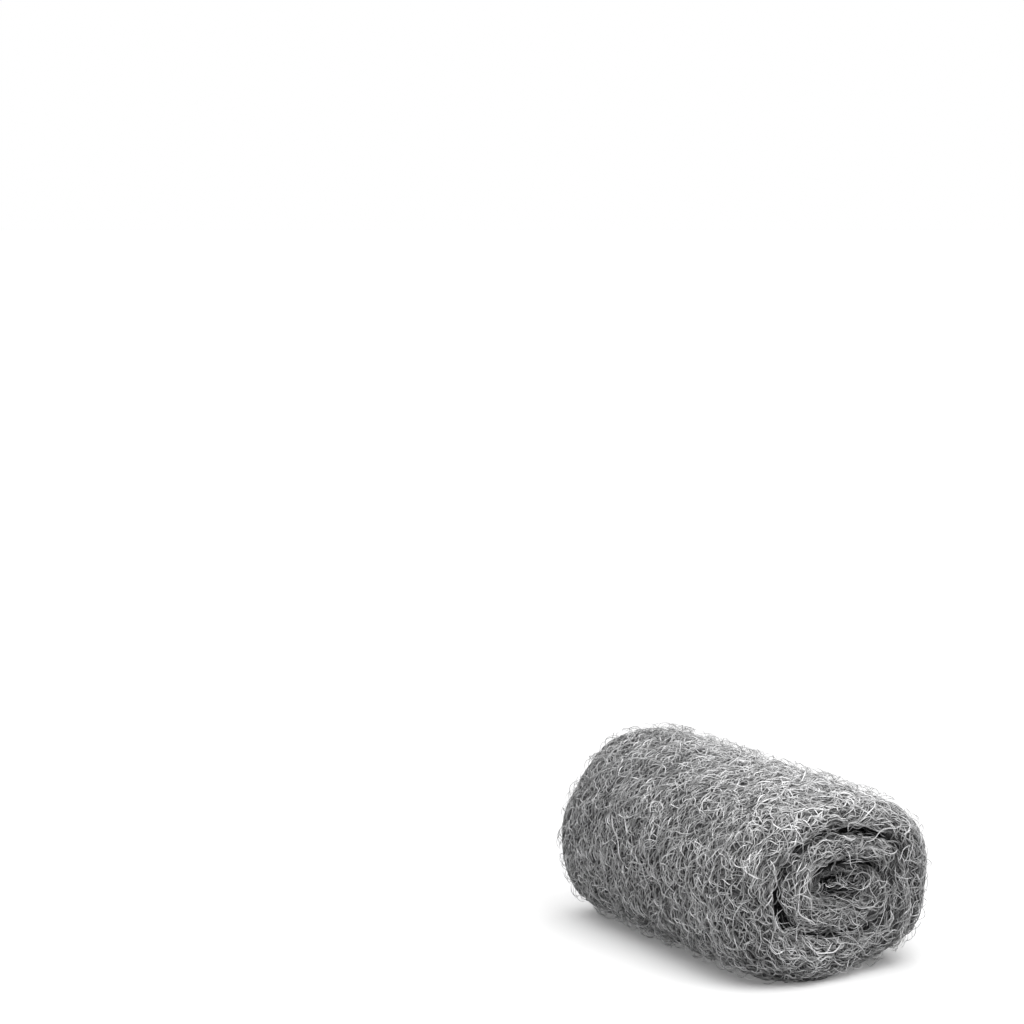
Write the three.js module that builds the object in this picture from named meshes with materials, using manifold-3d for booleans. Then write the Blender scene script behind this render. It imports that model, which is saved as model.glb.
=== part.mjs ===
// Steel wool pad: one strip of matted steel fibre, wound up into a soft oval roll that lies on its side.
// Millimetres, +Z up. X runs along the roll and +X is its near end.
// The origin is on the floor under the middle of the roll.
import * as THREE from "three";
import { mergeVertices } from "three/addons/utils/BufferGeometryUtils.js";
import Module from "manifold-3d";

// Overall sizes of the roll. It has slumped, so its near end is wider and lower than its far end.
const ROLL_LENGTH = 106;
const NEAR_WIDTH = 69.5;
const NEAR_HEIGHT = 53.5;
const FAR_WIDTH = 62;
const FAR_HEIGHT = 57;

// How far the roll's own weight has squared off its lower half: 2 is a plain ellipse.
const SLUMP = 3;
// How much of the underside the floor has pressed flat.
const FLAT_DEPTH = 1;

// The strip: its pitch from turn to turn, the space left between turns, and how thin its loose end is torn.
const TURN_PITCH = 10.5;
const TURN_GAP = 1.3;
const LIP_THICKNESS = 2;
// The loose end lies low on the back. Angles are seen from the near end, anticlockwise from +Y.
const LIP_ANGLE = THREE.MathUtils.degToRad(-56);
// Shares of a turn: over the first the torn end thickens, and every turn after it steps in at that angle.
// Over the second the roll dips, to pass under the torn end.
const LIP_RISE = 0.2;
const LIP_DIP = 0.08;

// The outer turn has sprung away from the next in two places, high on the back and low on the front.
// Each has its middle, its reach to both sides, and how much wider the space is there.
const SPRUNG_PLACES = [
  { middle: THREE.MathUtils.degToRad(65), reach: THREE.MathUtils.degToRad(35), gap: 2 },
  { middle: THREE.MathUtils.degToRad(200), reach: THREE.MathUtils.degToRad(55), gap: 2.5 },
];

// How far the heart of the roll lies off the middle of the section, to the back and up.
const HEART_BACK = 2;
const HEART_UP = 2;

// The ends: the round of the roll's rim, the round of each turn's edge, and the depth of the spiral groove.
const RIM_REACH = 11;
const RIM_DEPTH = 10;
const EDGE_ROUND = 4.5;
const GROOVE_DEPTH = 12;
// Deeper than this under the skin the turns are felted together, so they are one solid there.
const FELTED_INSET = 5;
// Half the slit that is left where the strip was first folded.
const CORE_SLIT = 0.6;

// How finely the solid is divided.
const STEPS_PER_TURN = 48;
const EDGE_STEPS = 8;
const LENGTH_STEPS = 4;
const MERGE_DISTANCE = 1e-4;

const wasm = await Module();
wasm.setup();

const TURN = 2 * Math.PI;
const coreInset = Math.min(NEAR_HEIGHT, FAR_HEIGHT) / 2 - CORE_SLIT;

// A point of the roll's oval section at x, sunk by inset under its skin.
function ovalPoint(x, angle, inset) {
  const straight = ROLL_LENGTH / 2 - RIM_REACH;
  const nearness = (THREE.MathUtils.clamp(x / straight, -1, 1) + 1) / 2;
  const halfWidth = THREE.MathUtils.lerp(FAR_WIDTH, NEAR_WIDTH, nearness) / 2;
  const halfHeight = (THREE.MathUtils.lerp(FAR_HEIGHT, NEAR_HEIGHT, nearness) + FLAT_DEPTH) / 2;
  const power = Math.sin(angle) < 0 ? 2 / SLUMP : 1;
  const reach = (share) => Math.sign(share) * Math.abs(share) ** power;
  const depth = inset / coreInset;
  return new THREE.Vector3(
    x,
    (halfWidth - inset) * reach(Math.cos(angle)) + depth * HEART_BACK,
    (halfHeight - inset) * reach(Math.sin(angle)) + depth * HEART_UP + halfHeight - FLAT_DEPTH,
  );
}

// The angle of the section that the strip has reached after a number of turns from its loose end.
function windingAngle(turn) {
  return LIP_ANGLE + turn * TURN;
}

// The space under the strip after a number of turns. Only the outer turn has sprung away from the next.
function gapUnder(turn) {
  if (turn >= 1) return TURN_GAP;
  const sprung = SPRUNG_PLACES.map(({ middle, reach, gap }) => {
    const away = Math.abs(windingAngle(turn) - middle) / reach;
    return gap * THREE.MathUtils.smoothstep(1 - away, 0, 1);
  });
  return TURN_GAP + Math.max(...sprung);
}

// How deep the strip's inner face lies after a number of turns from its loose end.
function innerInset(turn) {
  const whole = Math.floor(turn);
  const part = turn - whole;
  const rise = THREE.MathUtils.smoothstep(part, 0, LIP_RISE);
  const drift = THREE.MathUtils.smoothstep(part, LIP_RISE, 1);
  const inset = LIP_THICKNESS * (1 + drift) + (TURN_PITCH - LIP_THICKNESS) * rise + TURN_PITCH * whole;
  return Math.min(inset, coreInset);
}

// How deep the strip's outer face lies: on the skin for the first turn, then under the turn before.
function outerInset(turn) {
  if (turn >= 1) return innerInset(turn - 1) + gapUnder(turn - 1);
  const dip = THREE.MathUtils.smoothstep(turn, 1 - LIP_DIP, 1);
  return dip * (LIP_THICKNESS + gapUnder(0));
}

// How far the rounded rim draws the strip's edge in from the end of the roll.
function rimDraw(inset) {
  const share = THREE.MathUtils.clamp(1 - inset / RIM_DEPTH, 0, 1);
  return RIM_REACH * (1 - Math.sqrt(1 - share ** 2));
}

// Steps of the winding, up to where the core leaves the strip no thicker than its torn end.
function stepsWound() {
  const thickness = (turn) => innerInset(turn) - outerInset(turn);
  let steps = STEPS_PER_TURN;
  while (thickness((steps + 1) / STEPS_PER_TURN) > LIP_THICKNESS) steps += 1;
  return steps;
}

function toSolid(geometry) {
  const bare = geometry.clone();
  bare.deleteAttribute("normal");
  bare.deleteAttribute("uv");
  const merged = mergeVertices(bare, MERGE_DISTANCE);
  return new wasm.Manifold(
    new wasm.Mesh({
      numProp: 3,
      vertProperties: new Float32Array(merged.attributes.position.array),
      triVerts: new Uint32Array(merged.index.array),
    }),
  );
}

function toGeometry(solid) {
  const mesh = solid.getMesh();
  const geometry = new THREE.BufferGeometry();
  geometry.setAttribute("position", new THREE.BufferAttribute(mesh.vertProperties, 3));
  geometry.setIndex(new THREE.BufferAttribute(mesh.triVerts, 1));
  geometry.computeVertexNormals();
  return geometry;
}

// Moves each vertex of a geometry to where place puts it.
function reshape(geometry, place) {
  const position = geometry.attributes.position;
  const point = new THREE.Vector3();
  for (let i = 0; i < position.count; i += 1) {
    const moved = place(point.fromBufferAttribute(position, i));
    position.setXYZ(i, moved.x, moved.y, moved.z);
  }
  return geometry;
}

// The strip is laid flat, as a box of unit half-length and thickness with one unit of depth for each turn.
// Then it is rolled up.
function rolledStrip() {
  const steps = stepsWound();
  const turns = steps / STEPS_PER_TURN;
  const flat = new THREE.BoxGeometry(2, 1, turns, LENGTH_STEPS, EDGE_STEPS, steps);
  return reshape(flat, ({ x, y, z }) => {
    const turn = Math.round((z / turns + 0.5) * steps) / STEPS_PER_TURN;
    const depthShare = (1 + Math.cos(Math.PI * (y + 0.5))) / 2;
    const outer = outerInset(turn);
    const thickness = innerInset(turn) - outer;
    const inset = outer + depthShare * thickness;
    const round = Math.min(EDGE_ROUND, thickness / 2);
    const draw = round * (1 - Math.sqrt(1 - (2 * depthShare - 1) ** 2));
    return ovalPoint(x * (ROLL_LENGTH / 2 - rimDraw(inset) - draw), windingAngle(turn), inset);
  });
}

// The middle of the roll, where the turns are felted together.
function feltedMiddle() {
  const length = ROLL_LENGTH - 2 * GROOVE_DEPTH;
  const round = new THREE.CylinderGeometry(1, 1, length, STEPS_PER_TURN, 1).rotateZ(Math.PI / 2);
  return reshape(round, ({ x, y, z }) => {
    const skin = ovalPoint(x, Math.atan2(z, y), FELTED_INSET);
    const heart = ovalPoint(x, 0, FELTED_INSET).setY(0);
    return heart.lerp(skin, Math.hypot(y, z));
  });
}

// What lies under the floor, to cut the underside flat.
function underFloor() {
  const margin = 10;
  const depth = 2 * margin;
  const box = new THREE.BoxGeometry(ROLL_LENGTH + margin, Math.max(NEAR_WIDTH, FAR_WIDTH) + margin, depth);
  return box.translate(0, 0, -depth / 2);
}

function woolRoll() {
  const solid = toSolid(rolledStrip()).add(toSolid(feltedMiddle())).subtract(toSolid(underFloor()));
  const steel = new THREE.MeshStandardMaterial({ color: 0x84848a, roughness: 0.6, metalness: 0.8 });
  const roll = new THREE.Mesh(toGeometry(solid), steel);
  roll.name = "wool_roll";
  return roll;
}

const pad = new THREE.Group();
pad.name = "steel_wool_pad";
pad.add(woolRoll());

export default pad;
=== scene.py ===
import functools
import math
from typing import Callable, NamedTuple

import bmesh
import bpy
import numpy as np
from bpy.props import FloatProperty, FloatVectorProperty, IntProperty, PointerProperty
from bpy.types import Operator, Panel, PropertyGroup
from mathutils import Matrix, Vector, noise
from mathutils.bvhtree import BVHTree


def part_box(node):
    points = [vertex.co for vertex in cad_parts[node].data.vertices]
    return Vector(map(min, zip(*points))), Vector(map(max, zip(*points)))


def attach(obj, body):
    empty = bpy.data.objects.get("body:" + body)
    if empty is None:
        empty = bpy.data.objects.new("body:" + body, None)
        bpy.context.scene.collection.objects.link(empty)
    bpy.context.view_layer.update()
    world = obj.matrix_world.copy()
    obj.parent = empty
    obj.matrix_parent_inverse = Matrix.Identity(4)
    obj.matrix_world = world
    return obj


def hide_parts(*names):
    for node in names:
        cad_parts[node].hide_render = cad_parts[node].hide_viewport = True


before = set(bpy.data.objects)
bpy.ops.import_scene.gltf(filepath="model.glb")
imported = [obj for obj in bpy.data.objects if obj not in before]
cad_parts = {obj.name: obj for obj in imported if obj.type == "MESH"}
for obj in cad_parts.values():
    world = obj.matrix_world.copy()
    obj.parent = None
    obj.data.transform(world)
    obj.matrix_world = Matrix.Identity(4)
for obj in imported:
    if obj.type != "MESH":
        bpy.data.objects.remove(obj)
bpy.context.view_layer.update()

bl_info = {
    "name": "Steel Wool Pad",
    "version": (1, 0, 0),
    "blender": (4, 5, 0),
    "location": "View3D > Sidebar > Wool Pad",
    "description": "Covers a wound roll with matted steel fibres and sets it on a pale floor",
    "category": "Object",
}

MM = 0.001
NODE = "wool_roll"
BODY = "root"
BODY_PIECE = "roll_body"

ROLL_LOW, ROLL_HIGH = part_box(NODE)
ROLL_MIDDLE = (ROLL_LOW + ROLL_HIGH) / 2
# The turns lie round a flat fold at the heart of the roll, which reaches this far to each side.
FOLD_REACH = ((ROLL_HIGH.y - ROLL_LOW.y) - (ROLL_HIGH.z - ROLL_LOW.z)) / 2
# The inner turns are the heart of the roll: its middle, and half its size across and up.
HEART = ROLL_MIDDLE + Vector((0.0, 2 * MM, -1 * MM))
HEART_HALF = Vector((15 * MM, 9 * MM))
# Faces whose normal leans further than this along the roll belong to its ends.
END_LEAN = 0.4

# Where the wool has puffed out or been pressed in: the middle of each place, its reach and its height.
PUFFS = (
    (Vector((48, 26, 40)) * MM, 18 * MM, 2.0 * MM),
    (Vector((47, -8, 3)) * MM, 20 * MM, 2.2 * MM),
    (Vector((-47, -23, 42)) * MM, 18 * MM, -1.8 * MM),
)
# How often and how far the body is eased after it is remeshed.
EASING_ROUNDS = 2
EASING = 0.5
# Ripples lie on the lumps: how many fit into a lump, and their height as a share of the lump's.
RIPPLES_PER_LUMP = 3
RIPPLE_SHARE = 0.25
# The body ends above the floor, by this share of how far it lies under the skin.
FLOOR_SHARE = 0.25
# Points of the roll that are closer than this are merged.
ROLL_MERGE = 0.01 * MM

# Size of the faces of the roll's envelope.
ENVELOPE_GRAIN = 2 * MM
# Where the body lies further than this under the envelope, there is a gap between turns.
GAP_DEPTH = 1 * MM

# Two sets of fibres painted on the body, as level lines of a noise: its scale, its levels and its shift.
PAINTED_FIBRES = ((260.0, 9.0, 0.0), (330.0, 8.0, 0.7))

# Corners of a fibre's section, and the length of its sides when the corners lie on a circle of radius 1.
CORNERS = 3
SECTION_SIDE = 2 * math.sin(math.pi / CORNERS)
# Corners of the faces along a fibre.
FACE_CORNERS = 4
# How late a fibre thins towards its tips, how late it dips there, and how far.
TAPER_POWER = 6
DIP_POWER = 4
TIP_DIP = 0.7 * MM
# Points of a fibre that are closer than this are merged, which closes its tips.
FIBRE_MERGE = 0.001 * MM
# How far the fibres of a lock lie apart.
LOCK_SPREAD = 0.5 * MM
# How much fibres differ: shares of their layer's length of weave, and of its width.
WEAVE_RANGE = (0.7, 1.5)
WIDTH_RANGE = (0.7, 1.3)
# Width of the fibres of the mat, of the strays and of the long hairs, as shares of the full width.
MAT_WIDTH = 0.82
STRAY_WIDTH = 0.5
HAIR_WIDTH = 0.9
# Edge that is left free round each fibre's cell of the map.
CELL_MARGIN = 0.1

WHITE = (1.0, 1.0, 1.0, 1.0)


class RollSettings(PropertyGroup):
    """Sizes and colours of the matted wool under the skin of fibres; its dark colours are painted shade."""

    grain: FloatProperty(
        name="Mesh grain", description="Size of the body's faces", default=1.1 * MM, unit="LENGTH"
    )
    sink: FloatVectorProperty(
        name="Sink",
        description="How far the body lies under the skin, along, across and up",
        default=(0.7 * MM, 0.4 * MM, 1.2 * MM),
        unit="LENGTH",
    )
    gap_opening: FloatProperty(
        name="Gap opening", description="How far each side of a gap opens", default=0.6 * MM, unit="LENGTH"
    )
    lump_height: FloatProperty(
        name="Lump height", description="How far the body swells and dips", default=0.35 * MM, unit="LENGTH"
    )
    heart_dip: FloatProperty(
        name="Heart dip", description="How far the ends are sunk at the heart", default=4 * MM, unit="LENGTH"
    )
    lump_size: FloatProperty(
        name="Lump size", description="Distance from lump to lump", default=15 * MM, unit="LENGTH"
    )
    # Painted shade: the body is coloured dark where the wool lies deep in the mat, and darker still in the
    # pits between its fibres.
    pit_shade_colour: FloatVectorProperty(
        name="Pit colour",
        description="Between the fibres deep down",
        subtype="COLOR",
        default=(0.02, 0.02, 0.021),
    )
    shaded_wool_colour: FloatVectorProperty(
        name="Wool colour", description="Fibres deep down", subtype="COLOR", default=(0.12, 0.12, 0.122)
    )


class FibreSettings(PropertyGroup):
    """Sizes and colours of the fibres."""

    width: FloatProperty(
        name="Width", description="Full width of a fibre in the middle", default=0.29 * MM, unit="LENGTH"
    )
    step: FloatProperty(
        name="Step", description="Length of a straight piece of fibre", default=0.95 * MM, unit="LENGTH"
    )
    wave: FloatProperty(
        name="Wave", description="Length of one crimp", default=6.5 * MM, unit="LENGTH"
    )
    side_crimp: FloatProperty(
        name="Side crimp", description="Swing of a fibre on the side", default=0.65, subtype="ANGLE"
    )
    end_crimp: FloatProperty(
        name="End crimp", description="Swing of a fibre on the ends", default=0.7, subtype="ANGLE"
    )
    side_scatter: FloatProperty(
        name="Side scatter", description="Spread about the winding on the side", default=0.75, subtype="ANGLE"
    )
    end_scatter: FloatProperty(
        name="End scatter", description="Spread about the winding on the ends", default=0.3, subtype="ANGLE"
    )
    # Painted shade: fibres are darkened where they dip deep into the mat, by these shares on the side and on
    # the ends.
    side_shade: FloatProperty(
        name="Side shade", description="How much duller fibres are deep in the side", default=0.5
    )
    end_shade: FloatProperty(
        name="End shade", description="How much duller fibres are deep in the ends", default=0.85
    )
    # Painted shade: fibres in the sunk heart of each end are darkened by this share.
    heart_shade: FloatProperty(
        name="Heart shade", description="How much duller fibres are in the heart", default=0.45
    )
    # The darkest tone, which fibres take both at random and as painted shade where they lie deep.
    dull_and_shaded_colour: FloatVectorProperty(
        name="Dull steel", description="Darkest fibres", subtype="COLOR", default=(0.1, 0.1, 0.101)
    )
    bright_colour: FloatVectorProperty(
        name="Bright steel", description="Lightest fibres", subtype="COLOR", default=(0.88, 0.88, 0.885)
    )
    side_count: IntProperty(
        name="Side fibres", description="Fibres on each quarter of the side", default=2600
    )
    near_count: IntProperty(name="Near fibres", description="Fibres on the near end", default=2100)
    far_count: IntProperty(name="Far fibres", description="Fibres on the far end", default=1300)
    bridge_count: IntProperty(
        name="Bridging fibres", description="Fibres that cross the turns of each end", default=60
    )
    heart_count: IntProperty(
        name="Heart fibres", description="Fibres in the heart of each end", default=36
    )
    gap_count: IntProperty(
        name="Gap fibres", description="Fibres deep in the gaps of each end", default=56
    )
    lip_count: IntProperty(
        name="Lip fibres", description="Fibres that lie across the strip's loose end", default=130
    )
    stray_count: IntProperty(
        name="Stray fibres", description="Loops and hairs that stand out", default=2700
    )
    hair_count: IntProperty(
        name="Long hairs", description="Long fibres that lie loose on the roll", default=90
    )


class StageSettings(PropertyGroup):
    """The floor, the light and the camera."""

    floor_colour: FloatVectorProperty(
        name="Floor", description="Pale floor", subtype="COLOR", default=(0.95, 0.95, 0.95)
    )
    floor_glow: FloatProperty(
        name="Floor glow", description="Light that shows through the floor", default=0.18
    )
    bounce_colour: FloatVectorProperty(
        name="Bounce", description="Floor as it lights the pad", subtype="COLOR", default=(0.19, 0.19, 0.19)
    )
    sky_strength: FloatProperty(name="Sky", description="Even light from all round", default=0.03)
    top_strength: FloatProperty(name="Top light", description="Soft light from above", default=2.95)
    near_power: FloatProperty(
        name="Near light", description="Softbox by the near end", subtype="POWER", default=0.105
    )
    top_spread: FloatProperty(
        name="Top spread", description="Softness of the top light", subtype="ANGLE", default=1.6
    )
    field_of_view: FloatProperty(
        name="Field of view", description="Angle that the picture takes in", subtype="ANGLE", default=0.384
    )
    bearing: FloatProperty(
        name="Bearing", description="Turn of the view from the roll's side", subtype="ANGLE", default=1.021
    )
    pitch: FloatProperty(
        name="Pitch", description="How far the camera looks down", subtype="ANGLE", default=0.1134
    )
    distance: FloatProperty(
        name="Distance", description="Depth of the roll in the view", default=785 * MM, unit="LENGTH"
    )


class Layer(NamedTuple):
    """A layer of fibres: where they begin, how they lie over a surface, and how they look."""

    # What gives the surface, and what weighs its faces as places to begin.
    surface: Callable
    zone: Callable
    # How many fibres there are, how many lie in a lock, and how many points each has.
    count: int
    lock: int
    points: int
    # Spread of their headings about the winding, and the swing of their crimp.
    scatter: float
    crimp: float
    # Between which heights over the surface they weave, and the length of one weave.
    low: float
    high: float
    weave: float
    width: float
    # Darkest and lightest tone, set lower as painted shade for layers deep in the gaps and heart, and how
    # much more painted shade darkens them where they dip deep and in the heart.
    tones: tuple
    shade: float
    heart_shade: float


class Value:
    """A number or colour socket of a node tree, on which sums are written as Python."""

    def __init__(self, nodes, socket):
        self.nodes = nodes
        self.socket = socket

    def _sum(self, operation, first, second):
        return self.nodes.add("ShaderNodeMath", {"operation": operation}, {0: first, 1: second})

    def __add__(self, other):
        return self._sum("ADD", self, other)

    def __radd__(self, other):
        return self._sum("ADD", other, self)

    def __mul__(self, other):
        return self._sum("MULTIPLY", self, other)

    def __rmul__(self, other):
        return self._sum("MULTIPLY", other, self)


class Nodes:
    """The nodes of a material or of the world."""

    # Sockets of a Mix node that mixes colours.
    mix_factor, mix_low, mix_high, mix_result = 0, 6, 7, 2

    def __init__(self, owner):
        owner.use_nodes = True
        self.tree = owner.node_tree
        self.tree.nodes.clear()

    def add(self, kind, settings=None, inputs=None, output=0):
        """Adds a node, sets it up, fills or links its sockets, and gives one of its outputs."""
        node = self.tree.nodes.new(kind)
        for key, value in (settings or {}).items():
            setattr(node, key, value)
        for key, value in (inputs or {}).items():
            if isinstance(value, Value):
                self.tree.links.new(value.socket, node.inputs[key])
            else:
                node.inputs[key].default_value = value
        return Value(self, node.outputs[output]) if len(node.outputs) else None

    def mixed_colour(self, factor, low, high):
        """The low colour where the factor is 0, and the high one where it is 1."""
        inputs = {self.mix_factor: factor, self.mix_low: (*low, 1.0), self.mix_high: (*high, 1.0)}
        return self.add("ShaderNodeMix", {"data_type": "RGBA"}, inputs, self.mix_result)

    def rays_that_see(self):
        """1 for the rays that show a surface in the picture, straight, mirrored or through glass."""
        kinds = ("Is Camera Ray", "Is Glossy Ray", "Is Transmission Ray")
        camera, glossy, transmission = (self.add("ShaderNodeLightPath", output=kind) for kind in kinds)
        return camera + glossy + transmission


def matted_wool(settings):
    """The wool under the skin: fibres side by side that wander and cross, with dark pits between. Its dark
    colours are painted shade, for wool deep in the mat and for the pits between fibres.
    """
    material = bpy.data.materials.new("matted_wool")
    nodes = Nodes(material)
    place = nodes.add("ShaderNodeTexCoord", output="Object")
    lines = []
    for scale, levels, shift in PAINTED_FIBRES:
        moved = nodes.add("ShaderNodeMapping", inputs={"Vector": place, "Location": (shift, shift, shift)})
        swirl = nodes.add(
            "ShaderNodeTexNoise",
            inputs={"Vector": moved, "Scale": scale, "Detail": 1.0, "Distortion": 0.6},
        )
        lines.append(nodes.add("ShaderNodeMath", {"operation": "SINE"}, {0: swirl * (levels * math.tau)}))
    mat = nodes.add("ShaderNodeMath", {"operation": "MAXIMUM"}, {0: lines[0], 1: lines[1]}) * 0.5 + 0.5
    # Painted shade: the pits between the painted fibres take the darkest colour, and the fibres a dark one.
    colour = nodes.mixed_colour(mat * mat, settings.pit_shade_colour, settings.shaded_wool_colour)
    bump = nodes.add("ShaderNodeBump", inputs={"Height": mat, "Strength": 0.9, "Distance": 0.4 * MM})
    shader = nodes.add(
        "ShaderNodeBsdfPrincipled",
        inputs={"Base Color": colour, "Metallic": 0.5, "Roughness": 0.55, "Normal": bump},
    )
    nodes.add("ShaderNodeOutputMaterial", inputs={"Surface": shader})
    return material


def drawn_steel(settings):
    """Steel fibre. Each strand has a tone of its own, darkened with painted shade where it lies deep and in
    the heart.
    """
    material = bpy.data.materials.get("drawn_steel")
    if material:
        return material
    material = bpy.data.materials.new("drawn_steel")
    nodes = Nodes(material)
    tone = nodes.add("ShaderNodeAttribute", {"attribute_name": "tone"}, output="Fac")
    colour = nodes.mixed_colour(tone, settings.dull_and_shaded_colour, settings.bright_colour)
    shader = nodes.add(
        "ShaderNodeBsdfPrincipled", inputs={"Base Color": colour, "Metallic": 0.3, "Roughness": 0.55}
    )
    nodes.add("ShaderNodeOutputMaterial", inputs={"Surface": shader})
    return material


def pale_floor(settings):
    """The floor, which looks nearly white and throws little light back on to the pad."""
    material = bpy.data.materials.new("pale_floor")
    nodes = Nodes(material)
    bounce, pale = (
        nodes.add("ShaderNodeBsdfDiffuse", inputs={"Color": (*colour, 1.0)})
        for colour in (settings.bounce_colour, settings.floor_colour)
    )
    glow = nodes.add("ShaderNodeEmission", inputs={"Color": WHITE, "Strength": settings.floor_glow})
    lit = nodes.add("ShaderNodeAddShader", inputs={0: pale, 1: glow})
    shader = nodes.add("ShaderNodeMixShader", inputs={0: nodes.rays_that_see(), 1: bounce, 2: lit})
    nodes.add("ShaderNodeOutputMaterial", inputs={"Surface": shader})
    return material


def new_object(name, data):
    """An object in the scene, at the origin."""
    piece = bpy.data.objects.new(name, data)
    bpy.context.scene.collection.objects.link(piece)
    return piece


def bmesh_of(mesh):
    """A bmesh that holds what a mesh holds."""
    bm = bmesh.new()
    bm.from_mesh(mesh)
    return bm


def filled(mesh, bm):
    """A mesh, filled with what a bmesh holds. The bmesh is freed."""
    bm.to_mesh(mesh)
    bm.free()
    return mesh


def finished_mesh(piece, name):
    """The mesh of a piece with its modifiers or its bevel applied."""
    depsgraph = bpy.context.evaluated_depsgraph_get()
    mesh = bpy.data.meshes.new_from_object(piece.evaluated_get(depsgraph))
    mesh.name = name
    return mesh


def finish_piece(piece, material):
    """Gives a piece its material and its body."""
    piece.data.materials.clear()
    piece.data.materials.append(material)
    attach(piece, BODY)


def remeshed(name, rough_mesh, grain, shrink=0.0):
    """A closed mesh, shrunk along its normals and covered with even faces."""
    rough = new_object("rough", rough_mesh)
    drawn_in = rough.modifiers.new("Drawn in", "DISPLACE")
    drawn_in.mid_level = 0.0
    drawn_in.strength = -shrink
    even = rough.modifiers.new("Even faces", "REMESH")
    even.mode = "VOXEL"
    even.voxel_size = grain
    mesh = finished_mesh(rough, name)
    bpy.data.objects.remove(rough)
    return mesh


def drawn_in_roll(settings):
    """The wound roll, drawn in from its skin, with its gaps opened, and remeshed evenly."""
    bm = bmesh_of(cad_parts[NODE].data)
    bmesh.ops.remove_doubles(bm, verts=bm.verts, dist=ROLL_MERGE)
    half = (ROLL_HIGH - ROLL_LOW) / 2
    shares = Vector(1 - (sink - settings.gap_opening) / side for sink, side in zip(settings.sink, half))
    bmesh.ops.scale(bm, vec=shares, space=Matrix.Translation(-ROLL_MIDDLE), verts=bm.verts)
    mesh = filled(bpy.data.meshes.new("rough_roll"), bm)
    return remeshed(BODY_PIECE, mesh, settings.grain, settings.gap_opening)


def envelope_mesh():
    """The roll as if it were shrink-wrapped, with no grooves in its ends."""
    bm = bmesh_of(bpy.data.objects[BODY_PIECE].data)
    hull = bmesh.ops.convex_hull(bm, input=bm.verts)
    bmesh.ops.delete(bm, geom=hull["geom_interior"], context="VERTS")
    return remeshed("envelope", filled(bpy.data.meshes.new("hull"), bm), ENVELOPE_GRAIN)


def heart_share(places):
    """1 in the middle of the heart, and 0 outside it."""
    off = (np.asarray(places) - HEART)[..., 1:] / HEART_HALF
    return np.maximum(0.0, 1 - (off**2).sum(axis=-1))


def puff_height(place):
    """How far the wool is puffed out at a place. Below 0 it is pressed in."""
    height = 0.0
    for middle, reach, most in PUFFS:
        share = max(0.0, 1 - ((place - middle).length / reach) ** 2)
        height += most * share**2
    return height


def soft_roll(settings):
    """The body of the roll, eased, made lumpy and sunk at its heart."""
    mesh = drawn_in_roll(settings)
    bm = bmesh_of(mesh)
    for _ in range(EASING_ROUNDS):
        bmesh.ops.smooth_vert(
            bm, verts=bm.verts, factor=EASING, use_axis_x=True, use_axis_y=True, use_axis_z=True
        )
    bm.normal_update()
    moves = []
    for vert in bm.verts:
        lump = noise.noise(vert.co / settings.lump_size)
        ripple = noise.noise(vert.co / (settings.lump_size / RIPPLES_PER_LUMP))
        swell = settings.lump_height * (lump + ripple * RIPPLE_SHARE)
        moves.append(vert.normal * (swell + puff_height(vert.co)))
    lowest = settings.sink[2] * FLOOR_SHARE
    dips = settings.heart_dip * heart_share([vert.co for vert in bm.verts])
    for vert, move, dip in zip(bm.verts, moves, dips):
        vert.co += move
        vert.co.x -= dip * vert.co.x / ROLL_HIGH.x
        vert.co.z = max(vert.co.z, lowest)
    filled(mesh, bm).shade_smooth()
    return mesh


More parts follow.
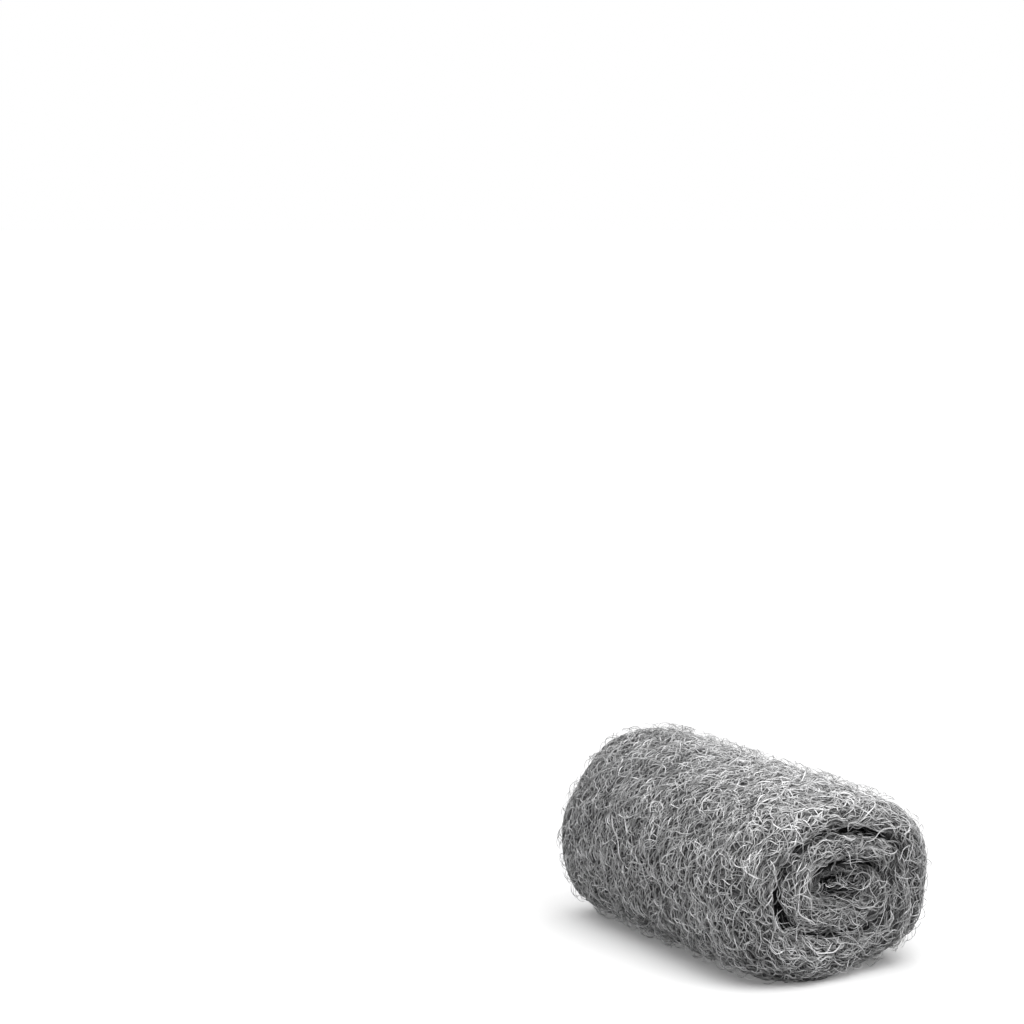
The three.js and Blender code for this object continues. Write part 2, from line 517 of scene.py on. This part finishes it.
class Fleece:
    """A surface on which fibres are combed along the winding."""

    # Feelers stand on each face, one straight and four that lean: their length, start and lean.
    feeler = 8 * MM
    feeler_start = 0.4 * MM
    feeler_lean = 0.8
    # A face is shut in where less than this share of its feelers meets nothing.
    shut_share = 0.5
    # How strongly fibres are drawn to begin on open faces.
    open_power = 3
    # Of this many places for a fibre, the one with the most room is taken.
    tries = 4
    # How much fibres differ: their bend at each step, and shares of crimp, of wave and of its pace.
    bend_spread = 0.05
    crimp_range = (0.4, 1.3)
    wave_range = (0.7, 1.5)
    pace_range = (0.5, 1.5)

    def __init__(self, mesh):
        self.tree = BVHTree.FromPolygons(
            [vertex.co for vertex in mesh.vertices], [face.vertices for face in mesh.polygons]
        )
        self.centres = self._read(mesh, "center", 3)
        self.normals = self._read(mesh, "normal", 3)
        self.areas = self._read(mesh, "area", 1).ravel()
        self.openness = np.array([self._openness(*face) for face in zip(self.centres, self.normals)])

    @staticmethod
    def _read(mesh, name, width):
        """A value of each face of a mesh, with so many numbers to a face."""
        values = np.empty(len(mesh.polygons) * width)
        mesh.polygons.foreach_get(name, values)
        return values.reshape(-1, width)

    def _openness(self, centre, normal):
        """The share of a face's feelers that meet nothing."""
        up = Vector(normal)
        side = up.orthogonal().normalized()
        other = up.cross(side)
        ways = [up]
        for lean in (side, -side, other, -other):
            ways.append((up + lean * self.feeler_lean).normalized())
        start = Vector(centre) + up * self.feeler_start
        free = [self.tree.ray_cast(start, way, self.feeler)[0] is None for way in ways]
        return sum(free) / len(free)

    @staticmethod
    def _winding(place, normal):
        """The way that the turns run at a place on the surface."""
        fold = max(-FOLD_REACH, min(FOLD_REACH, place.y - ROLL_MIDDLE.y))
        out = Vector((0.0, place.y - ROLL_MIDDLE.y - fold, place.z - ROLL_MIDDLE.z))
        along = Vector((1.0, 0.0, 0.0)).cross(out)
        return (along - normal * along.dot(normal)).normalized()

    def starts(self, random, count, zone):
        """Places where fibres begin, spread evenly over a zone and seldom in the gaps."""
        weight = self.areas * self.openness**self.open_power * zone(self.centres, self.normals)
        sums = np.cumsum(weight)
        tries = self.centres[np.searchsorted(sums, random.uniform(0.0, sums[-1], (count, self.tries)))]
        chosen = tries[:, 0].copy()
        for i in range(1, count):
            room = np.linalg.norm(tries[i, :, None] - chosen[None, :i], axis=2).min(axis=1)
            chosen[i] = tries[i, room.argmax()]
        return [Vector(place) for place in chosen]

    def comb(self, random, start, layer, settings):
        """A line on the surface that wanders along the winding and turns away from gaps.

        Gives its points, the normals there, and the directions across the winding.
        """
        heading = random.normal(0.0, layer.scatter) + math.pi * random.integers(2)
        bend = random.normal(0.0, self.bend_spread)
        crimp = layer.crimp * random.uniform(*self.crimp_range)
        pace = math.tau * settings.step / (settings.wave * random.uniform(*self.wave_range))
        swing = random.uniform(0.0, math.tau)
        place = start
        line = []
        for _ in range(layer.points):
            place, normal, face = self.tree.find_nearest(place)[:3]
            if self.openness[face] < self.shut_share:
                heading = -heading
            along = self._winding(place, normal)
            across = normal.cross(along)
            line.append((place, normal, across))
            heading += bend
            swing += pace * random.uniform(*self.pace_range)
            turn = heading + crimp * math.sin(swing)
            place = place + (along * math.cos(turn) + across * math.sin(turn)) * settings.step
        return [np.array([tuple(vector) for vector in vectors]) for vectors in zip(*line)]


@functools.cache
def body_fleece():
    """The body of the roll, to comb fibres on."""
    return Fleece(bpy.data.objects[BODY_PIECE].data)


@functools.cache
def envelope_fleece():
    """The envelope of the roll, to comb fibres on."""
    return Fleece(envelope_mesh())


def on_side(normals):
    """Which faces belong to the side of the roll."""
    return np.abs(normals[:, 0]) < END_LEAN


def on_end(end, normals):
    """Which faces belong to the near end of the roll, 1, or to its far end, -1."""
    return normals[:, 0] * end >= END_LEAN


def in_gaps(centres):
    """Which places of the envelope lie over a gap between turns."""
    body = body_fleece().tree
    depths = np.array([body.find_nearest(centre)[3] for centre in centres])
    return depths > GAP_DEPTH


def eased(lines):
    """Lines of points with the middle points drawn towards their neighbours."""
    result = lines.copy()
    result[:, 1:-1] = lines[:, 1:-1] / 2 + (lines[:, :-2] + lines[:, 2:]) / 4
    return result


def strand_lines(random, layer, settings):
    """Lines for a layer of fibres, which lie in locks of a few and weave up and down through the mat.

    Also gives how high each point lies, from 0 at the bottom of the layer to 1 at its top.
    """
    share = np.linspace(-1.0, 1.0, layer.points)
    reach = np.arange(layer.points) * settings.step
    lines, rises = [], []
    fleece = layer.surface()
    for start in fleece.starts(random, layer.count // layer.lock, layer.zone):
        points, normals, across = fleece.comb(random, start, layer, settings)
        for _ in range(layer.lock):
            aside = random.normal(0.0, LOCK_SPREAD) + share * random.normal(0.0, LOCK_SPREAD)
            length = layer.weave * random.uniform(*WEAVE_RANGE)
            rise = 0.5 + 0.5 * np.sin(math.tau * reach / length + random.uniform(0.0, math.tau))
            height = layer.low + (layer.high - layer.low) * rise - TIP_DIP * share**DIP_POWER
            lines.append(points + across * aside[:, None] + normals * height[:, None])
            rises.append(rise)
    lines = eased(np.array(lines))
    lines[:, :, 2] = np.maximum(lines[:, :, 2], settings.width)
    return lines, np.array(rises)


def fibre_section():
    """The flat outline that is drawn along each fibre."""
    data = bpy.data.curves.new("fibre_section", "CURVE")
    data.dimensions = "2D"
    section = data.splines.new("POLY")
    section.points.add(CORNERS - 1)
    section.use_cyclic_u = True
    for i, point in enumerate(section.points):
        angle = math.tau * i / CORNERS
        point.co = (math.cos(angle), math.sin(angle), 0.0, 1.0)
    return new_object("fibre_section", data)


def lay_out_strands(mesh, count, points):
    """A map on which each strand has a cell of its own, with its sides next to each other."""
    columns = math.ceil(math.sqrt(count))
    corners = np.empty(len(mesh.loops), dtype=int)
    mesh.loops.foreach_get("vertex_index", corners)
    strand, rest = np.divmod(corners, points * CORNERS)
    ring, corner = np.divmod(rest, CORNERS)
    # On the side that closes the section, the first corner counts as the one after the last.
    corner = corner.reshape(-1, FACE_CORNERS)
    closes = (corner.min(axis=1) == 0) & (corner.max(axis=1) == CORNERS - 1)
    corner = np.where(closes[:, None] & (corner == 0), CORNERS, corner).ravel()
    row, column = np.divmod(strand, columns)
    room = 1 - 2 * CELL_MARGIN
    across = column + CELL_MARGIN + room * corner / CORNERS
    up = row + CELL_MARGIN + room * ring / (points - 1)
    places = np.column_stack((across, up)) / columns
    layer = mesh.uv_layers.new(name="OFBake")
    layer.uv.foreach_set("vector", places.astype(np.float32).ravel())


def strand_mesh(name, lines, widths, tones):
    """Tapered fibres along the lines, as one mesh with a tone at each point; the tones hold painted shade as
    well as each fibre's own tone.
    """
    count, points = lines.shape[:2]
    section = fibre_section()
    data = bpy.data.curves.new(name, "CURVE")
    data.dimensions = "3D"
    data.bevel_mode = "OBJECT"
    data.bevel_object = section
    taper = np.sqrt(1 - np.linspace(-1.0, 1.0, points) ** TAPER_POWER)
    for line, width in zip(lines, widths):
        spline = data.splines.new("POLY")
        spline.points.add(points - 1)
        spline.points.foreach_set("co", np.column_stack((line, np.ones(points))).ravel())
        spline.points.foreach_set("radius", taper * width / SECTION_SIDE)
    curve = new_object(name, data)
    mesh = finished_mesh(curve, name)
    bpy.data.objects.remove(curve)
    bpy.data.objects.remove(section)

    lay_out_strands(mesh, count, points)
    tone = mesh.attributes.new("tone", "FLOAT", "POINT")
    tone.data.foreach_set("value", np.repeat(tones.ravel(), CORNERS).astype(np.float32))
    bm = bmesh_of(mesh)
    bmesh.ops.remove_doubles(bm, verts=bm.verts, dist=FIBRE_MERGE)
    bmesh.ops.recalc_face_normals(bm, faces=bm.faces)
    filled(mesh, bm).shade_flat()
    return mesh


def add_strands(name, seed, layer, settings):
    """Makes a layer of fibres as one piece."""
    random = np.random.default_rng(seed)
    lines, rises = strand_lines(random, layer, settings)
    widths = layer.width * random.uniform(*WIDTH_RANGE, len(lines))
    # Each fibre's tone is drawn at random, then darkened with painted shade where it dips deep in its layer
    # and where it lies in the heart.
    tones = random.uniform(*layer.tones, len(lines))[:, None] * (1 - layer.shade * (1 - rises))
    tones *= 1 - layer.heart_shade * heart_share(lines)
    piece = new_object(name, strand_mesh(name, lines, widths, tones))
    finish_piece(piece, drawn_steel(settings))


class WOOLPAD_OT_roll_body(Operator):
    """Make the matted wool of the roll"""

    bl_idname = "woolpad.roll_body"
    bl_label = "Roll Body"

    def execute(self, context):
        settings = context.scene.wool_roll
        piece = new_object(BODY_PIECE, soft_roll(settings))
        finish_piece(piece, matted_wool(settings))
        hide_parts(NODE)
        return {"FINISHED"}


class WOOLPAD_OT_side_wool(Operator):
    """Comb fibres round the side of the roll, in four quarters, and across the strip's loose end"""

    bl_idname = "woolpad.side_wool"
    bl_label = "Side Wool"

    # Each quarter's seed and name, its end of the roll and its upper or lower half.
    quarters = (
        (21, "near_upper_wool", 1, 1),
        (22, "near_lower_wool", 1, -1),
        (23, "far_upper_wool", -1, 1),
        (24, "far_lower_wool", -1, -1),
    )
    lip_seed = 25
    # Below this height the roll rests, and only this share of the fibres lies there.
    rest_height = 2 * MM
    under_share = 0.4

    def execute(self, context):
        settings = context.scene.wool_fibre
        for seed, name, end, half in self.quarters:
            zone = functools.partial(self.zone, end, half)
            add_strands(name, seed, self.mat(settings, zone), settings)
        lip = self.mat(settings, self.lip_zone)._replace(
            surface=envelope_fleece,
            count=settings.lip_count,
            low=-1.0 * MM,
            high=0.4 * MM,
        )
        add_strands("lip_wool", self.lip_seed, lip, settings)
        return {"FINISHED"}

    def mat(self, settings, zone):
        """Fibres that lie close on the side."""
        return Layer(
            surface=body_fleece,
            zone=zone,
            count=settings.side_count,
            lock=1,
            points=11,
            scatter=settings.side_scatter,
            crimp=settings.side_crimp,
            low=-0.2 * MM,
            high=1.0 * MM,
            weave=10 * MM,
            width=settings.width * MAT_WIDTH,
            tones=(0.18, 1.0),
            shade=settings.side_shade,
            heart_shade=0.0,
        )

    def zone(self, end, half, centres, normals):
        """Weighs the faces of one quarter of the side."""
        here = (centres[:, 0] * end > 0) & ((centres[:, 2] - ROLL_MIDDLE.z) * half > 0)
        here &= on_side(normals)
        return here * np.where(centres[:, 2] < self.rest_height, self.under_share, 1.0)

    def lip_zone(self, centres, normals):
        """Picks the faces over the slot under the strip's loose end, low on the back."""
        low_back = (centres[:, 1] > ROLL_MIDDLE.y) & (centres[:, 2] < ROLL_MIDDLE.z)
        return low_back & on_side(normals) & in_gaps(centres)


class WOOLPAD_OT_end_wool(Operator):
    """Comb fibres along the turns at both ends of the roll"""

    bl_idname = "woolpad.end_wool"
    bl_label = "End Wool"

    # Each layer's seed goes this far past the seed of its end.
    bridge_seed = 10
    heart_seed = 20
    gap_seed = 30
    # Half the size of the slit where the strip was first folded, across and up.
    slit_half = (10 * MM, 4 * MM)
    # The share of the fibres on the ends that also lies in the heart.
    heart_cover = 0.25

    def execute(self, context):
        settings = context.scene.wool_fibre
        # Each end's seed and name, its side of the roll's middle and its number of fibres.
        ends = ((31, "near_end", 1, settings.near_count), (32, "far_end", -1, settings.far_count))
        for seed, name, end, count in ends:
            mat = self.mat(settings, end, count)
            bridges = self.bridges(settings, mat)
            gaps = self.gaps(settings, end, bridges)
            heart = self.heart(settings, end, bridges)
            add_strands(f"{name}_wool", seed, mat, settings)
            add_strands(f"{name}_bridges", seed + self.bridge_seed, bridges, settings)
            add_strands(f"{name}_gaps", seed + self.gap_seed, gaps, settings)
            add_strands(f"{name}_heart", seed + self.heart_seed, heart, settings)
        return {"FINISHED"}

    def mat(self, settings, end, count):
        """Fibres that lie close on the edges of the turns."""
        return Layer(
            surface=body_fleece,
            zone=functools.partial(self.zone, end),
            count=count,
            lock=2,
            points=13,
            scatter=settings.end_scatter,
            crimp=settings.end_crimp,
            low=-0.2 * MM,
            high=1.0 * MM,
            weave=12 * MM,
            width=settings.width * MAT_WIDTH,
            tones=(0.05, 1.0),
            shade=settings.end_shade,
            heart_shade=settings.heart_shade,
        )

    def bridges(self, settings, mat):
        """Bright fibres that cross from turn to turn."""
        return mat._replace(
            surface=envelope_fleece,
            count=settings.bridge_count,
            points=18,
            high=0.7 * MM,
            tones=(0.4, 1.0),
        )

    def gaps(self, settings, end, bridges):
        """Fibres down in the gaps between turns, in a darker tone range that paints shade."""
        return bridges._replace(
            zone=functools.partial(self.gap_zone, end),
            count=settings.gap_count,
            points=13,
            scatter=settings.side_scatter,
            low=-3 * MM,
            high=-0.5 * MM,
            tones=(0.1, 0.8),
        )

    def heart(self, settings, end, bridges):
        """Fibres deep in the slit at the heart, in the darkest tone range, which paints shade."""
        return bridges._replace(
            zone=functools.partial(self.slit_zone, end),
            count=settings.heart_count,
            points=12,
            low=-5 * MM,
            high=-2 * MM,
            tones=(0.0, 0.6),
        )

    def zone(self, end, centres, normals):
        """Weighs the faces of one end."""
        in_heart = heart_share(centres) > 0
        return on_end(end, normals) * np.where(in_heart, self.heart_cover, 1.0)

    def gap_zone(self, end, centres, normals):
        """Picks the faces over the gaps of one end."""
        return on_end(end, normals) & in_gaps(centres) & (heart_share(centres) == 0)

    def slit_zone(self, end, centres, normals):
        """Picks the faces over the slit of one end."""
        in_slit = np.all(np.abs(centres - HEART)[:, 1:] < self.slit_half, axis=1)
        return on_end(end, normals) & in_slit


class WOOLPAD_OT_stray_wool(Operator):
    """Add the loops and hairs that stand out from the roll"""

    bl_idname = "woolpad.stray_wool"
    bl_label = "Stray Wool"

    stray_seed = 61
    hair_seed = 62
    # Strays and hairs begin above this height.
    lowest = 2 * MM

    def execute(self, context):
        settings = context.scene.wool_fibre
        strays = Layer(
            surface=envelope_fleece,
            zone=self.zone,
            count=settings.stray_count,
            lock=2,
            points=8,
            scatter=0.8,
            crimp=settings.end_crimp,
            low=0.0,
            high=2.8 * MM,
            weave=12 * MM,
            width=settings.width * STRAY_WIDTH,
            tones=(0.35, 0.95),
            shade=0.0,
            heart_shade=0.0,
        )
        add_strands("stray_wool", self.stray_seed, strays, settings)
        hairs = strays._replace(
            count=settings.hair_count,
            lock=1,
            points=21,
            crimp=settings.side_crimp / 2,
            low=0.3 * MM,
            high=1.3 * MM,
            width=settings.width * HAIR_WIDTH,
            tones=(0.6, 1.0),
        )
        add_strands("long_hairs", self.hair_seed, hairs, settings)
        return {"FINISHED"}

    def zone(self, centres, normals):
        """Picks the faces clear of the floor."""
        return centres[:, 2] > self.lowest


class WOOLPAD_OT_stage(Operator):
    """Add the floor, the light and the camera"""

    bl_idname = "woolpad.stage"
    bl_label = "Stage"

    floor_radius = 30.0
    floor_corners = 64
    # Strength of the sky as the camera sees it.
    seen_sky = 1.0
    # Way from the roll to the distant light.
    top_way = (-0.08, 0.0, 1.0)
    # Where the softbox stands, and its size.
    near_place = (125 * MM, -15 * MM, 118 * MM)
    near_size = 120 * MM
    # Where the middle of the roll's underside stands in the picture, and the picture's size, in pixels.
    foot_pixel = (730.5, 937.0)
    picture_size = 1024.0
    clip_start = 10 * MM

    def execute(self, context):
        settings = context.scene.wool_stage
        self.floor(settings)
        self.sky(context, settings)
        self.top_light(settings)
        self.near_light(settings)
        self.camera(context, settings)
        context.scene.view_settings.view_transform = "Standard"
        return {"FINISHED"}

    def floor(self, settings):
        bm = bmesh.new()
        bmesh.ops.create_circle(bm, cap_ends=True, segments=self.floor_corners, radius=self.floor_radius)
        mesh = filled(bpy.data.meshes.new("floor"), bm)
        mesh.materials.append(pale_floor(settings))
        new_object("floor", mesh)

    def sky(self, context, settings):
        world = bpy.data.worlds.new("studio")
        nodes = Nodes(world)
        light, seen = (
            nodes.add("ShaderNodeBackground", inputs={"Color": WHITE, "Strength": strength})
            for strength in (settings.sky_strength, self.seen_sky)
        )
        shader = nodes.add("ShaderNodeMixShader", inputs={0: nodes.rays_that_see(), 1: light, 2: seen})
        nodes.add("ShaderNodeOutputWorld", inputs={"Surface": shader})
        context.scene.world = world

    def lamp(self, name, kind, energy, way):
        """A lamp that stands in a given way from what it lights."""
        data = bpy.data.lights.new(name, kind)
        data.energy = energy
        lamp = new_object(name, data)
        lamp.rotation_mode = "QUATERNION"
        lamp.rotation_quaternion = way.to_track_quat("Z", "Y")
        return lamp

    def top_light(self, settings):
        lamp = self.lamp("top_light", "SUN", settings.top_strength, Vector(self.top_way))
        lamp.data.angle = settings.top_spread

    def near_light(self, settings):
        place = Vector(self.near_place)
        lamp = self.lamp("near_light", "AREA", settings.near_power, place - ROLL_MIDDLE)
        lamp.location = place
        lamp.data.size = self.near_size
        lamp.visible_camera = False

    def camera(self, context, settings):
        data = bpy.data.cameras.new("camera")
        data.lens = data.sensor_width / 2 / math.tan(settings.field_of_view / 2)
        data.clip_start = self.clip_start
        camera = new_object("camera", data)
        bearing, pitch = settings.bearing, settings.pitch
        right = Vector((math.cos(bearing), math.sin(bearing), 0.0))
        back = Vector(
            (math.sin(bearing) * math.cos(pitch), -math.cos(bearing) * math.cos(pitch), math.sin(pitch))
        )
        up = back.cross(right)
        focal = self.picture_size / 2 / math.tan(settings.field_of_view / 2)
        across, down = (
            (pixel - self.picture_size / 2) / focal * settings.distance for pixel in self.foot_pixel
        )
        place = back * settings.distance - right * across + up * down
        turned = Matrix((right, up, back)).transposed().to_4x4()
        camera.matrix_world = Matrix.Translation(place) @ turned
        context.scene.camera = camera


class WOOLPAD_PT_pad(Panel):
    """Lists the steps that make the pad"""

    bl_idname = "WOOLPAD_PT_pad"
    bl_label = "Wool Pad"
    bl_space_type = "VIEW_3D"
    bl_region_type = "UI"
    bl_category = "Wool Pad"

    def draw(self, context):
        for operator in OPERATORS:
            self.layout.operator(operator.bl_idname)


OPERATORS = (
    WOOLPAD_OT_roll_body,
    WOOLPAD_OT_side_wool,
    WOOLPAD_OT_end_wool,
    WOOLPAD_OT_stray_wool,
    WOOLPAD_OT_stage,
)
CLASSES = (RollSettings, FibreSettings, StageSettings, *OPERATORS, WOOLPAD_PT_pad)


def register():
    for cls in CLASSES:
        bpy.utils.register_class(cls)
    bpy.types.Scene.wool_roll = PointerProperty(type=RollSettings)
    bpy.types.Scene.wool_fibre = PointerProperty(type=FibreSettings)
    bpy.types.Scene.wool_stage = PointerProperty(type=StageSettings)


def unregister():
    del bpy.types.Scene.wool_stage
    del bpy.types.Scene.wool_fibre
    del bpy.types.Scene.wool_roll
    for cls in reversed(CLASSES):
        bpy.utils.unregister_class(cls)


def main():
    register()
    bpy.ops.woolpad.roll_body()
    bpy.ops.woolpad.side_wool()
    bpy.ops.woolpad.end_wool()
    bpy.ops.woolpad.stray_wool()
    bpy.ops.woolpad.stage()


if __name__ == "__main__":
    main()
